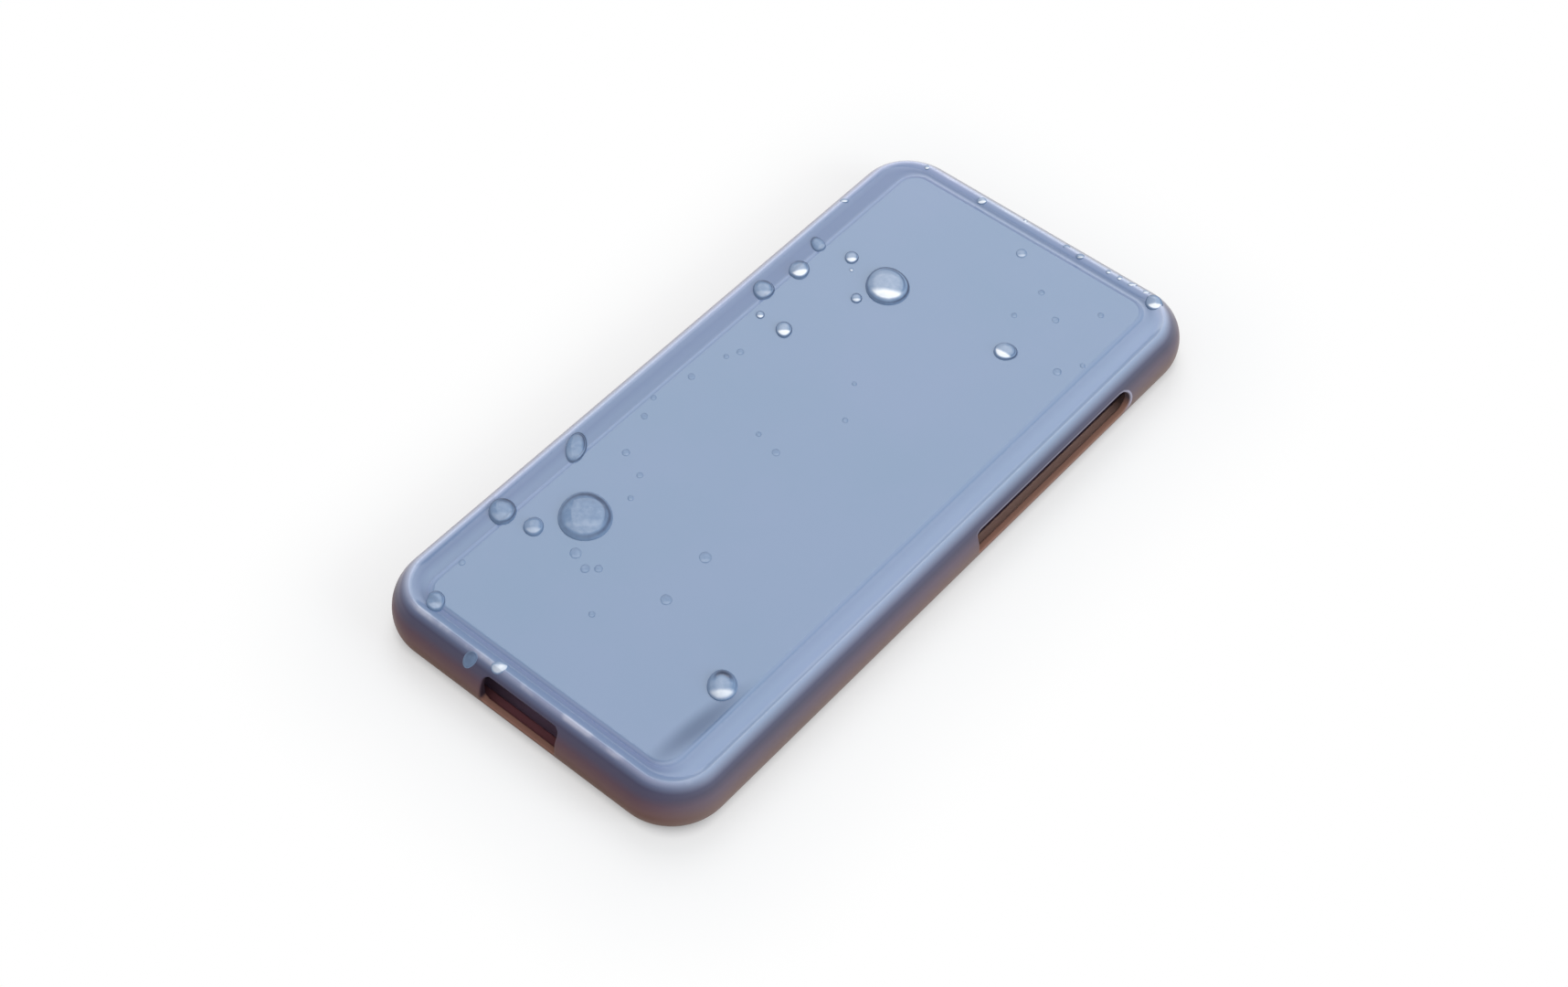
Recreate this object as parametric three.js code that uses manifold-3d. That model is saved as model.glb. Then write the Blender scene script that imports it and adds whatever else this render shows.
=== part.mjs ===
// Outdoor phone case, moulded in one piece.
// It lies with its back panel up and its phone hollow open downward.
// Units are millimetres. X runs across the case, Y along it and Z up.
// The origin is the middle of the footprint, on the surface that the case lies on.
import * as THREE from 'three';
import { mergeVertices } from 'three/addons/utils/BufferGeometryUtils.js';
import Module from 'manifold-3d';

// Phone that the case holds
const phoneWidth = 74.6;
const phoneLength = 153.8;
const phoneThickness = 7.5;
const phoneCornerRadius = 10.4;
const phoneEdgeReach = 3.0;
const phoneEdgeRise = 3.4;
const fitClearance = 0.1;

// Wall, back panel and the lip that grips the phone's front edge
const wallThickness = 1.6;
const panelThickness = 1.3;
const lipThickness = 1.9;
const lipReach = 2.2;
const lipRootRadius = 0.8;
const mouthEdgeRadius = 0.3;

// Outer side: a belt at the widest level, rolled in below and above it
const beltHeight = 4.5;
const bottomRollReach = 2.8;
const shoulderRise = 3.6;
const shoulderRun = 1.6;
const rimSlope = 35;

// Raised rim around the back panel, with a shallow channel between the rim's crest and the panel
const rimRise = 0.2;
const rimInsetSide = 3.4;
const rimInsetEnd = 4.2;
const rimCrestRadius = 0.6;
const rimInnerSlope = 18;
const rimInnerRun = 1.0;
const panelInsetSide = 9.3;
const panelInsetEnd = 7.7;
const panelStepWidth = 1.1;
const channelDepth = 0.35;
const channelFloorShare = 0.4;

// Charging port opening in the -Y end wall
const portWidth = 18.4;
const portHeight = 6.2;
const portSillHeight = 3.0;
const portCornerRadius = 1.2;

// Key opening in the +X side wall, square at its near end and round at its far end
const keyLength = 47.7;
const keyHeight = 5.4;
const keySillHeight = 3.0;
const keyCentreY = 30.15;
const keyNearRadius = 0.8;
const keyFarRadius = 2.6;

// How finely curves are cut into flats
const cornerSteps = 10;
const rollSteps = 9;
const smallArcSteps = 4;
const channelSteps = 7;
const stepSteps = 4;
const openingArcSteps = 6;
const cutMargin = 1;

// Sizes that follow from the ones above
const hollowWidth = phoneWidth + 2 * fitClearance;
const hollowLength = phoneLength + 2 * fitClearance;
const hollowDepth = phoneThickness + fitClearance;
const hollowCornerRadius = phoneCornerRadius + fitClearance;
const caseWidth = hollowWidth + 2 * wallThickness;
const caseLength = hollowLength + 2 * wallThickness;
const cornerRadius = hollowCornerRadius + wallThickness;
const ceilingHeight = lipThickness + hollowDepth;
const faceHeight = ceilingHeight + panelThickness;
const rimHeight = faceHeight + rimRise;
const openingDepth = wallThickness + fitClearance + phoneEdgeReach;

const degrees = Math.PI / 180;

// Points of a cubic curve, as [inset, height] pairs, with its first point left out.
function cubicPoints(start, startHandle, endHandle, end, steps) {
  const curve = new THREE.CubicBezierCurve(
    new THREE.Vector2(...start),
    new THREE.Vector2(...startHandle),
    new THREE.Vector2(...endHandle),
    new THREE.Vector2(...end),
  );
  return curve.getPoints(steps).slice(1).map((point) => [point.x, point.y]);
}

// Points of an ellipse's arc, as [inset, height] pairs. Angle 0 points inward and 90 degrees up.
function arcPoints(centre, reach, rise, fromAngle, toAngle, steps) {
  return Array.from({ length: steps + 1 }, (_, index) => {
    const angle = (fromAngle + ((toAngle - fromAngle) * index) / steps) * degrees;
    return [centre[0] + reach * Math.cos(angle), centre[1] + rise * Math.sin(angle)];
  });
}

// Half a cosine wave from one [inset, height] point to another, with the first point left out.
function easedPoints(start, end, steps) {
  return Array.from({ length: steps }, (_, index) => {
    const share = (index + 1) / steps;
    const drop = (1 - Math.cos(Math.PI * share)) / 2;
    return [start[0] + (end[0] - start[0]) * share, start[1] + (end[1] - start[1]) * drop];
  });
}

// The outer section from the underside, around the side and over the rim to the flat panel.
function outerSection(rimInset, panelInset) {
  const crestCentre = [rimInset, rimHeight - rimCrestRadius];
  const shoulderEnd = [
    crestCentre[0] - rimCrestRadius * Math.sin(rimSlope * degrees),
    crestCentre[1] + rimCrestRadius * Math.cos(rimSlope * degrees),
  ];
  const shoulderHandle = [
    shoulderEnd[0] - shoulderRun * Math.cos(rimSlope * degrees),
    shoulderEnd[1] - shoulderRun * Math.sin(rimSlope * degrees),
  ];
  const belt = [0, beltHeight];
  const beltHandle = [0, beltHeight + shoulderRise];
  const bottomCentre = [bottomRollReach, beltHeight];
  const crestStart = 90 + rimSlope;
  const crestEnd = 90 - rimInnerSlope;
  const crest = arcPoints(crestCentre, rimCrestRadius, rimCrestRadius, crestStart, crestEnd, smallArcSteps);
  const rimEnd = crest[crest.length - 1];
  const rimHandle = [
    rimEnd[0] + rimInnerRun * Math.cos(rimInnerSlope * degrees),
    rimEnd[1] - rimInnerRun * Math.sin(rimInnerSlope * degrees),
  ];
  const channelEnd = [panelInset - panelStepWidth, faceHeight - channelDepth];
  const channelHandle = [channelEnd[0] - channelFloorShare * (channelEnd[0] - rimInset), channelEnd[1]];
  const panelEdge = [panelInset, faceHeight];
  return [
    ...arcPoints(bottomCentre, bottomRollReach, beltHeight, 270, 180, rollSteps),
    ...cubicPoints(belt, beltHandle, shoulderHandle, shoulderEnd, rollSteps),
    ...crest.slice(1),
    ...cubicPoints(rimEnd, rimHandle, channelHandle, channelEnd, channelSteps),
    ...easedPoints(channelEnd, panelEdge, stepSteps),
  ];
}

// The section of the phone hollow, from below the mouth up to the underside of the panel.
function hollowSection() {
  const wall = wallThickness;
  const mouth = wall + lipReach;
  const lowerEdge = [mouth - mouthEdgeRadius, mouthEdgeRadius];
  const upperEdge = [mouth - mouthEdgeRadius, lipThickness - mouthEdgeRadius];
  const root = [wall + lipRootRadius, lipThickness + lipRootRadius];
  const roll = [wall + phoneEdgeReach, ceilingHeight - phoneEdgeRise];
  return [
    [mouth - mouthEdgeRadius, -cutMargin],
    ...arcPoints(lowerEdge, mouthEdgeRadius, mouthEdgeRadius, -90, 0, smallArcSteps),
    ...arcPoints(upperEdge, mouthEdgeRadius, mouthEdgeRadius, 0, 90, smallArcSteps),
    ...arcPoints(root, lipRootRadius, lipRootRadius, 270, 180, smallArcSteps),
    ...arcPoints(roll, phoneEdgeReach, phoneEdgeRise, 180, 90, rollSteps),
  ];
}

// A rounded rectangle as a list of points, turning left around +Z.
function roundedOutline(halfWidth, halfLength, radius) {
  const shape = new THREE.Shape();
  const x = halfWidth - radius;
  const y = halfLength - radius;
  shape.absarc(x, y, radius, 0, Math.PI / 2);
  shape.absarc(-x, y, radius, Math.PI / 2, Math.PI);
  shape.absarc(-x, -y, radius, Math.PI, 1.5 * Math.PI);
  shape.absarc(x, -y, radius, 1.5 * Math.PI, 2 * Math.PI);
  return shape.curves
    .filter((curve) => curve.isEllipseCurve)
    .flatMap((curve) => curve.getPoints(cornerSteps));
}

// A closed body through a stack of rounded rectangles, set in from the case's widest outline.
function loft(sideSection, endSection) {
  const rings = sideSection.map(([sideInset, height], index) => {
    const endInset = endSection[index][0];
    const radius = cornerRadius - (sideInset + endInset) / 2;
    const outline = roundedOutline(caseWidth / 2 - sideInset, caseLength / 2 - endInset, radius);
    return outline.map((point) => [point.x, point.y, height]);
  });
  const count = rings[0].length;
  const indices = [];
  for (let ring = 0; ring < rings.length - 1; ring += 1) {
    for (let step = 0; step < count; step += 1) {
      const next = (step + 1) % count;
      const lower = ring * count;
      const upper = lower + count;
      indices.push(lower + step, lower + next, upper + next);
      indices.push(lower + step, upper + next, upper + step);
    }
  }
  const lastRing = (rings.length - 1) * count;
  const flat = rings[0].map(([x, y]) => new THREE.Vector2(x, y));
  for (const [a, b, c] of THREE.ShapeUtils.triangulateShape(flat, [])) {
    indices.push(c, b, a);
    indices.push(lastRing + a, lastRing + b, lastRing + c);
  }
  const geometry = new THREE.BufferGeometry();
  geometry.setAttribute('position', new THREE.Float32BufferAttribute(rings.flat(2), 3));
  geometry.setIndex(indices);
  return geometry;
}

// A through opening: an outline in the wall's own plane, pushed inward through the wall.
// Local X runs along the wall, local Y up and local Z outward.
function openingCutter(length, height, startRadius, endRadius) {
  const x = length / 2;
  const y = height / 2;
  const shape = new THREE.Shape();
  shape.absarc(x - endRadius, y - endRadius, endRadius, 0, Math.PI / 2);
  shape.absarc(startRadius - x, y - startRadius, startRadius, Math.PI / 2, Math.PI);
  shape.absarc(startRadius - x, startRadius - y, startRadius, Math.PI, 1.5 * Math.PI);
  shape.absarc(x - endRadius, endRadius - y, endRadius, 1.5 * Math.PI, 2 * Math.PI);
  const geometry = new THREE.ExtrudeGeometry(shape, {
    depth: openingDepth + cutMargin,
    bevelEnabled: false,
    curveSegments: openingArcSteps,
  });
  return geometry.translate(0, 0, -openingDepth);
}

function portCutter() {
  const geometry = openingCutter(portWidth, portHeight, portCornerRadius, portCornerRadius);
  geometry.rotateX(Math.PI / 2);
  return geometry.translate(0, -caseLength / 2, portSillHeight + portHeight / 2);
}

function keyCutter() {
  const geometry = openingCutter(keyLength, keyHeight, keyNearRadius, keyFarRadius);
  geometry.rotateX(Math.PI / 2);
  geometry.rotateZ(Math.PI / 2);
  return geometry.translate(caseWidth / 2, keyCentreY, keySillHeight + keyHeight / 2);
}

const wasm = await Module();
wasm.setup();

function toSolid(geometry) {
  const bare = geometry.clone();
  bare.deleteAttribute('normal');
  bare.deleteAttribute('uv');
  const merged = mergeVertices(bare, 1e-5);
  return new wasm.Manifold(new wasm.Mesh({
    numProp: 3,
    vertProperties: new Float32Array(merged.attributes.position.array),
    triVerts: new Uint32Array(merged.index.array),
  }));
}

function toGeometry(solid) {
  const mesh = solid.getMesh();
  const geometry = new THREE.BufferGeometry();
  geometry.setAttribute('position', new THREE.BufferAttribute(mesh.vertProperties, 3));
  geometry.setIndex(new THREE.BufferAttribute(mesh.triVerts, 1));
  geometry.computeVertexNormals();
  return geometry;
}

function caseShell() {
  const sideSection = outerSection(rimInsetSide, panelInsetSide);
  const endSection = outerSection(rimInsetEnd, panelInsetEnd);
  const outer = loft(sideSection, endSection);
  const hollow = loft(hollowSection(), hollowSection());
  const cutters = [hollow, portCutter(), keyCutter()];
  const shell = cutters.reduce((body, cutter) => body.subtract(toSolid(cutter)), toSolid(outer));
  const material = new THREE.MeshStandardMaterial({ color: 0x9aaccb, roughness: 0.35, metalness: 0 });
  const mesh = new THREE.Mesh(toGeometry(shell), material);
  mesh.name = 'case_shell';
  return mesh;
}

const phoneCase = new THREE.Group();
phoneCase.add(caseShell());

export default phoneCase;
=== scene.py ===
import logging
from dataclasses import dataclass, field
from enum import Enum

import bpy
import numpy as np
from mathutils import Matrix, Vector


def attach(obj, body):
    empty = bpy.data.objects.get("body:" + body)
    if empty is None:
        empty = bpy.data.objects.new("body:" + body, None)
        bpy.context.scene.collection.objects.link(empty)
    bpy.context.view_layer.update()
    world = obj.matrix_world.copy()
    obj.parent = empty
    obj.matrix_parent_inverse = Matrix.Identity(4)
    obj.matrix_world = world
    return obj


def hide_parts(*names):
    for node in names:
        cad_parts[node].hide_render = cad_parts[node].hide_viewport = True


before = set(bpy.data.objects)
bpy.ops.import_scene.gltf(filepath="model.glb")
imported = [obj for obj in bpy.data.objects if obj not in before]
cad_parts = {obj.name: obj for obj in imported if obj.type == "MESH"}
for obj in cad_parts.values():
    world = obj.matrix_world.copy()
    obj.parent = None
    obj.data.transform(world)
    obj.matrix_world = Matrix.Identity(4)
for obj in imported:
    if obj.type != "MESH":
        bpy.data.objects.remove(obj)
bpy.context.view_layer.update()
MM = 0.001
# Tone of the flat face: the plastic's blue with a painted sheen of bright sky in it.
FACE_BLUE = (0.165, 0.252, 0.404)
WHITE = (1.0, 1.0, 1.0)
NOISE_SPREAD = (0.3, 0.7)
WELD_DIGITS = 5
Socket = bpy.types.NodeSocket

log = logging.getLogger("phone_case")


class Side(Enum):
    """The two walls of the case that have an opening."""

    END = "end"
    LONG = "long"


# The section and the openings

def arc(centre: tuple, reach: float, rise: float, start: float, end: float, count: int) -> np.ndarray:
    """Points of an ellipse's arc: centre plus (reach cos a, rise sin a), a going evenly from start to end.

    Args:
        centre: The ellipse's middle, as inset and height.
        reach: Half width of the ellipse.
        rise: Half height of the ellipse.
        start: First angle in degrees; 0 points inward and 90 up.
        end: Last angle in degrees.
        count: How many points.

    Returns:
        Array (count, 2) of inset and height.
    """
    angle = np.radians(np.linspace(start, end, count))
    return np.stack([centre[0] + reach * np.cos(angle), centre[1] + rise * np.sin(angle)], axis=1)


def cubic(points: np.ndarray, count: int) -> np.ndarray:
    """Points of a cubic curve: the four control points weighted by the Bernstein terms.

    Args:
        points: Array (4, 2): start, two handles and end.
        count: How many points.

    Returns:
        Array (count, 2).
    """
    t = np.linspace(0.0, 1.0, count)
    weights = np.stack([(1 - t) ** 3, 3 * t * (1 - t) ** 2, 3 * t**2 * (1 - t), t**3], axis=1)
    return weights @ points


def eased(start: np.ndarray, end: np.ndarray, count: int) -> np.ndarray:
    """Half a cosine wave: the inset goes evenly from start to end, the height by (1 - cos(pi t)) / 2.

    Args:
        start: First inset and height.
        end: Last inset and height.
        count: How many points.

    Returns:
        Array (count, 2).
    """
    t = np.linspace(0.0, 1.0, count)
    share = np.stack([t, (1 - np.cos(np.pi * t)) / 2], axis=1)
    return np.asarray(start) + (np.asarray(end) - np.asarray(start)) * share


def smooth_step(share: np.ndarray) -> np.ndarray:
    """Eases a share from 0 to 1: t^2 (3 - 2 t)."""
    return share * share * (3 - 2 * share)


@dataclass(frozen=True)
class CaseSizes:
    """Sizes of the case in millimetres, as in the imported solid."""

    width: float = 78.0
    length: float = 157.2
    corner_radius: float = 12.1
    wall: float = 1.6
    ceiling: float = 9.5
    face: float = 10.8
    lip: float = 1.9
    lip_reach: float = 2.2
    lip_root: float = 0.8
    mouth_edge: float = 0.3
    roll_reach: float = 3.0
    roll_rise: float = 3.4
    belt: float = 4.5
    bottom_reach: float = 2.8
    shoulder_rise: float = 3.6
    shoulder_run: float = 1.6
    rim_slope: float = 35.0
    rim_top: float = 11.0
    rim_inset_side: float = 3.4
    rim_inset_end: float = 4.2
    crest_radius: float = 0.6
    inner_slope: float = 18.0
    inner_run: float = 1.0
    panel_inset_side: float = 9.3
    panel_inset_end: float = 7.7
    panel_step: float = 1.1
    channel_depth: float = 0.35
    channel_floor: float = 0.4


@dataclass
class Section:
    """The closed section of the wall, as rows of side inset, end inset and height in millimetres.

    The rows run from the hollow's ceiling down the inside of the wall, round the lip, up the outside
    and over the rim to the flat face. A block of rows on each skin spans the openings. The spaces
    between rows are counted before and after the block on the inside; on the outside they are those
    of the roll, the shoulder, the crest, the channel and the step. Fine curves that follow each other
    outside share a point.
    """

    sizes: CaseSizes
    block_rows: int = 16
    inner_block: tuple = (9.45, 2.1)
    outer_block: tuple = (2.0, 10.15)
    long_curve: int = 400
    short_curve: int = 200
    mouth_curve: int = 120
    inner_spaces: tuple = (8, 22)
    outer_spaces: tuple = (9, 6, 10, 22, 12)
    dim_from: float = 6.0
    outer: np.ndarray = field(init=False)
    inner: np.ndarray = field(init=False)
    lip_start: int = field(init=False)
    flank_end: int = field(init=False)
    rows: np.ndarray = field(init=False)
    inner_count: int = field(init=False)
    inner_range: tuple = field(init=False)
    outer_range: tuple = field(init=False)
    outer_run: np.ndarray = field(init=False)

    def __post_init__(self) -> None:
        """Works out the fine curves, then cuts them into rows."""
        s = self.sizes
        self.lip_start = self.long_curve + self.short_curve
        self.flank_end = 2 * self.long_curve - 2
        side = self.outer_curve(s.rim_inset_side, s.panel_inset_side)
        end = self.outer_curve(s.rim_inset_end, s.panel_inset_end)
        inner = self.inner_curve()
        self.outer = np.column_stack([side[:, 0], end[:, 0], side[:, 1]])
        self.inner = np.column_stack([inner[:, 0], inner[:, 0], inner[:, 1]])
        self.cut_rows()

    def outer_curve(self, rim_inset: float, panel_inset: float) -> np.ndarray:
        """The outside: bottom roll, flank, shoulder, crest, channel and the short step up to the panel.

        Args:
            rim_inset: How far the crest of the rim stands in from the widest line.
            panel_inset: How far the flat panel's edge stands in from it.

        Returns:
            Array (n, 2) of inset and height.
        """
        s = self.sizes
        crest_centre = np.array([rim_inset, s.rim_top - s.crest_radius])
        slope = np.radians(s.rim_slope)
        shoulder = crest_centre + s.crest_radius * np.array([-np.sin(slope), np.cos(slope)])
        handle = shoulder - s.shoulder_run * np.array([np.cos(slope), np.sin(slope)])
        flank = np.array([[0.0, s.belt], [0.0, s.belt + s.shoulder_rise], handle, shoulder])
        crest = arc(crest_centre, s.crest_radius, s.crest_radius, 90 + s.rim_slope, 90 - s.inner_slope,
                    self.short_curve)
        inner = np.radians(s.inner_slope)
        rim_handle = crest[-1] + s.inner_run * np.array([np.cos(inner), -np.sin(inner)])
        low = np.array([panel_inset - s.panel_step, s.face - s.channel_depth])
        low_handle = low - np.array([s.channel_floor * (low[0] - rim_inset), 0.0])
        channel = np.array([crest[-1], rim_handle, low_handle, low])
        panel = np.array([panel_inset, s.face])
        return np.concatenate([
            arc((s.bottom_reach, s.belt), s.bottom_reach, s.belt, 270, 180, self.long_curve),
            cubic(flank, self.long_curve)[1:],
            crest[1:],
            cubic(channel, self.long_curve)[1:],
            eased(low, panel, self.short_curve)[1:],
        ])

    def inner_curve(self) -> np.ndarray:
        """The inside: ceiling roll, wall, root of the lip, lip and the edge of the mouth.

        Returns:
            Array (n, 2) of inset and height, from the ceiling down.
        """
        s = self.sizes
        mouth = s.wall + s.lip_reach - s.mouth_edge
        roll = (s.wall + s.roll_reach, s.ceiling - s.roll_rise)
        return np.concatenate([
            arc(roll, s.roll_reach, s.roll_rise, 90, 180, self.long_curve),
            arc((s.wall + s.lip_root, s.lip + s.lip_root), s.lip_root, s.lip_root, 180, 270,
                self.short_curve),
            arc((mouth, s.lip - s.mouth_edge), s.mouth_edge, s.mouth_edge, 90, 0, self.mouth_curve),
            arc((mouth, s.mouth_edge), s.mouth_edge, s.mouth_edge, 0, -90, self.mouth_curve),
        ])

    @staticmethod
    def along(curve: np.ndarray, start: float, end: float, steps: int) -> np.ndarray:
        """Rows at even spaces along a curve, from one distance along it to another.

        Args:
            curve: Array (n, 3) of side inset, end inset and height.
            start: Distance of the first row.
            end: Distance of the last row.
            steps: How many spaces.

        Returns:
            Array (steps + 1, 3).
        """
        run = Section.run_of(curve)
        at = np.linspace(start, end, steps + 1)
        return np.stack([np.interp(at, run, column) for column in curve.T], axis=1)

    @staticmethod
    def run_of(curve: np.ndarray) -> np.ndarray:
        """Distance along the curve at each point, from side inset and height."""
        hop = np.hypot(np.diff(curve[:, 0]), np.diff(curve[:, 2]))
        return np.concatenate([[0.0], np.cumsum(hop)])

    def cut_rows(self) -> None:
        """Cuts both skins into rows, with whole blocks of rows where the openings are."""
        run = self.run_of(self.inner)
        heights = -self.inner[:self.lip_start, 2]
        top, foot = (float(np.interp(-z, heights, run[:self.lip_start])) for z in self.inner_block)
        before, after = self.inner_spaces
        inner = [
            self.along(self.inner, 0.0, top, before)[:-1],
            self.along(self.inner, top, foot, self.block_rows)[:-1],
            self.along(self.inner, foot, run[-1], after),
        ]
        run = self.run_of(self.outer)
        heights = self.outer[:self.flank_end, 2]
        foot, top = (float(np.interp(z, heights, run[:self.flank_end])) for z in self.outer_block)
        crest_end = self.flank_end + self.short_curve - 1
        step_start = crest_end + self.long_curve
        shoulder, crest, channel = run[self.flank_end], run[crest_end], run[step_start]
        roll, rise, over, across, step = self.outer_spaces
        outer = [
            self.along(self.outer, 0.0, foot, roll)[:-1],
            self.along(self.outer, foot, top, self.block_rows)[:-1],
            self.along(self.outer, top, shoulder, rise)[:-1],
            self.along(self.outer, shoulder, crest, over)[:-1],
            self.along(self.outer, crest, channel, across)[:-1],
            self.along(self.outer, channel, run[-1], step),
        ]
        self.rows = np.concatenate(inner + outer)
        self.inner_count = sum(len(part) for part in inner)
        first = len(inner[0])
        self.inner_range = (first, first + self.block_rows)
        first = self.inner_count + len(outer[0])
        self.outer_range = (first, first + self.block_rows)
        self.outer_run = run / run[-1]

    def run_at(self, height: np.ndarray) -> np.ndarray:
        """Share of the way up the outside skin, from the bottom roll to the face, at a flank height."""
        return np.interp(height, self.outer[:self.flank_end, 2], self.outer_run[:self.flank_end])

    def inner_tone(self, height: np.ndarray) -> np.ndarray:
        """Attribute "inside" of the inside skin: 1 on the wall and 2 on the ceiling, eased over the roll."""
        share = np.clip((height - self.dim_from) / (self.sizes.ceiling - self.dim_from), 0, 1)
        return 1 + smooth_step(share)

    def row_runs(self) -> np.ndarray:
        """Share of the way up the outside skin at every row, with 0 for the rows of the inside skin."""
        run = self.run_of(self.rows[self.inner_count:])
        return np.concatenate([np.zeros(self.inner_count), run / run[-1]])

    def outer_inset(self, side: Side, height: np.ndarray) -> np.ndarray:
        """Inset of the outside skin at a height, on the long side or the end."""
        column = 1 if side is Side.END else 0
        return np.interp(height, self.outer[:self.flank_end, 2], self.outer[:self.flank_end, column])

    def inner_inset(self, height: np.ndarray) -> np.ndarray:
        """Inset of the inside skin at a height between the lip and the ceiling."""
        return np.interp(-height, -self.inner[:self.lip_start, 2], self.inner[:self.lip_start, 0])


@dataclass
class Opening:
    """A rounded opening through one wall, in the wall's own plane, sizes in millimetres.

    The outline is a slot whose near end and far end have their own corner radius. Its edges are
    rolled over on the outside and broken on the inside. The spaces between rings are those of the
    outside skin, the rolled edge, the cut through the wall, the broken edge and the inside skin, and
    "crowd" draws the rings of the two skins closer together near the opening.
    """

    side: Side
    length: float
    height: float
    centre: tuple
    near_radius: float
    far_radius: float
    block: tuple
    cells: int
    outer_edge: float = 0.42
    inner_edge: float = 0.2
    # Strength of a painted highlight on the rolled outer edge; light_up and light_onward weigh it towards
    # the top and the far end.
    painted_edge_highlight_share: float = 0.0
    light_up: float = 0.4
    light_onward: float = 1.2
    sill_gain: float = 1.5
    arc_points: int = 60
    ring_spaces: tuple = (6, 6, 4, 5, 4)
    crowd: tuple = (1.5, 1.3)

    def outline(self, rows: int) -> tuple:
        """The outline and its outward directions, each edge from the middle of a corner to the next.

        Each edge is half an arc, a straight and half an arc, cut into even spaces along its length.

        Args:
            rows: How many spaces each end edge has.

        Returns:
            Two arrays (m, 2): points and outward directions, turning left seen from outside.
        """
        half, tall = self.length / 2, self.height / 2
        corners = [
            (-half, -tall, self.near_radius, 225.0), (half, -tall, self.far_radius, 315.0),
            (half, tall, self.far_radius, 45.0), (-half, tall, self.near_radius, 135.0),
        ]
        points, ways = [], []
        for index, spaces in enumerate([self.cells, rows, self.cells, rows]):
            x0, y0, r0, turn0 = corners[index]
            x1, y1, r1, _ = corners[(index + 1) % 4]
            face = turn0 + 45.0
            c0 = np.array([x0 - np.sign(x0) * r0, y0 - np.sign(y0) * r0])
            c1 = np.array([x1 - np.sign(x1) * r1, y1 - np.sign(y1) * r1])
            angle = np.radians(np.concatenate([
                np.linspace(turn0, face, self.arc_points),
                np.linspace(face, face + 45.0, self.arc_points)]))
            way = np.stack([np.cos(angle), np.sin(angle)], axis=1)
            middle = np.repeat(np.stack([c0, c1]), self.arc_points, axis=0)
            radius = np.repeat([r0, r1], self.arc_points)[:, None]
            path = middle + radius * way
            run = np.concatenate([[0.0], np.cumsum(np.hypot(*np.diff(path, axis=0).T))])
            at = np.linspace(0.0, run[-1], spaces + 1)[:-1]
            points.append(np.stack([np.interp(at, run, column) for column in path.T], axis=1))
            ways.append(np.stack([np.interp(at, run, column) for column in way.T], axis=1))
        way = np.concatenate(ways)
        way /= np.linalg.norm(way, axis=1, keepdims=True)
        return np.concatenate(points) + np.array(self.centre), way

    def border(self, stations: np.ndarray, heights: np.ndarray) -> np.ndarray:
        """The block's own border, in the same order as the outline.

        Args:
            stations: Places of the block's station lines along the wall.
            heights: Heights of its rows, lowest first.

        Returns:
            Array (m, 2) of place along the wall and height.
        """
        low, high = heights[0], heights[-1]
        near, far = stations[0], stations[-1]
        return np.concatenate([
            np.stack([stations[:-1], np.full(len(stations) - 1, low)], axis=1),
            np.stack([np.full(len(heights) - 1, far), heights[:-1]], axis=1),
            np.stack([stations[:0:-1], np.full(len(stations) - 1, high)], axis=1),
            np.stack([np.full(len(heights) - 1, near), heights[:0:-1]], axis=1),
        ])

    def rings(self, section: Section, stations: np.ndarray) -> tuple:
        """Rings from the outer block's border in to the opening, through the wall and out inside.

        On each skin a ring is a mix of the border and the outline, laid on that skin. The edge roll
        leaves the outline by e (1 - sin a) and sinks by e (1 - cos a), a from 0 to 90 degrees.

        Args:
            section: The wall's section.
            stations: Places of the block's station lines along the wall.

        Returns:
            Array (rings, m, 3) of place along the wall, height and depth, and a dictionary of arrays
            (rings, m): "inside" is 0 on the outside skin and 1 on the inside one, "cut" is 1 between
            the two, "sill" is 1 where that cut faces up and "edge" is the share of the painted highlight
            on the rolled edge.
        """
        outer_heights = section.rows[section.outer_range[0]:section.outer_range[1] + 1, 2]
        inner_heights = section.rows[section.inner_range[0]:section.inner_range[1] + 1, 2][::-1]
        outline, way = self.outline(section.block_rows)
        outer_border = self.border(stations, outer_heights)
        inner_border = self.border(stations, inner_heights)
        rings, inside, cut, edge = [], [], [], []
        upward, onward = np.clip(way[:, 1], 0, 1), np.clip(way[:, 0], 0, 1)
        # Share of the painted highlight round the opening's outer edge, most at the top and at the far end.
        lit = self.painted_edge_highlight_share * np.clip(self.light_up * upward + self.light_onward * onward**2, 0, 1)
        sill = np.clip(-self.sill_gain * way[:, 1], 0, 1)
        skin, roll, wall, broken, back = self.ring_spaces

        def add(plane: np.ndarray, depth: np.ndarray, within: float, through: float,
                bright: float = 0.0) -> None:
            """Keeps one ring.

            Args:
                plane: Places along the wall and heights.
                depth: Depths.
                within: Its value of "inside".
                through: Its value of "cut".
                bright: Its share of the lit edge's light.
            """
            rings.append(np.column_stack([plane, depth]))
            inside.append(np.full(len(plane), within))
            cut.append(np.full(len(plane), through))
            edge.append(bright * lit)

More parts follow.
